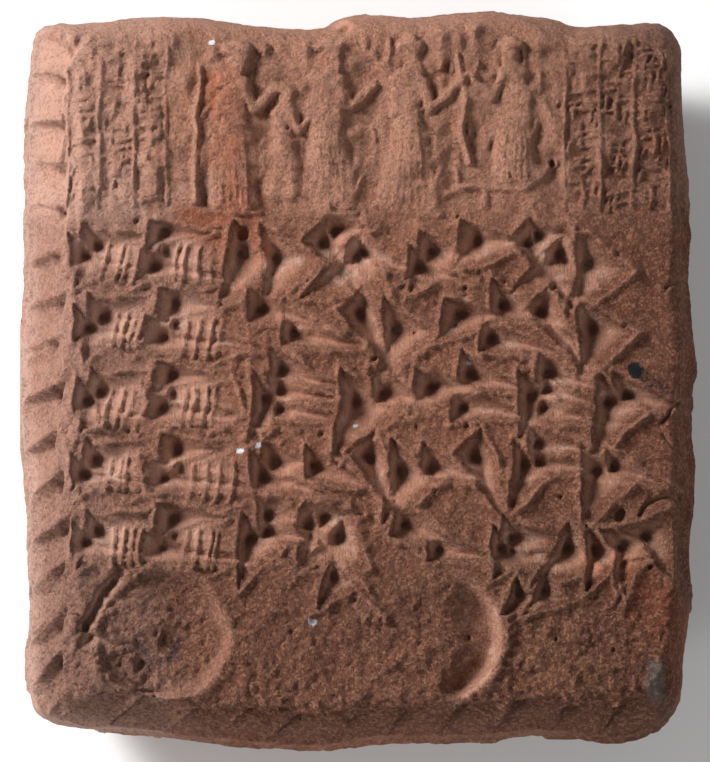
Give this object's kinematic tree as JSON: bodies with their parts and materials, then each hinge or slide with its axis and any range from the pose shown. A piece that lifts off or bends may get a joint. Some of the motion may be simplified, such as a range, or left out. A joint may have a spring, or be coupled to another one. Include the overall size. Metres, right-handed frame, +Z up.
{
  "type": "cuneiform clay tablet",
  "caption": "Pillow-shaped clay tablet with rows of pressed wedge strokes, a rolled seal band of robed figures and large round marks below, lying face up.",
  "frame": {"origin": "on the flat that the back rests on, under the middle of the tablet", "axes": "+Z up out of the written face, +Y towards the seal band at the top of the writing, +X to the reader's right"},
  "size_m": [0.0612, 0.067, 0.0256],
  "materials": {
    "clay": "matte"
  },
  "bodies": {
    "root": {"tablet": "clay"}
  },
  "joints": []
}
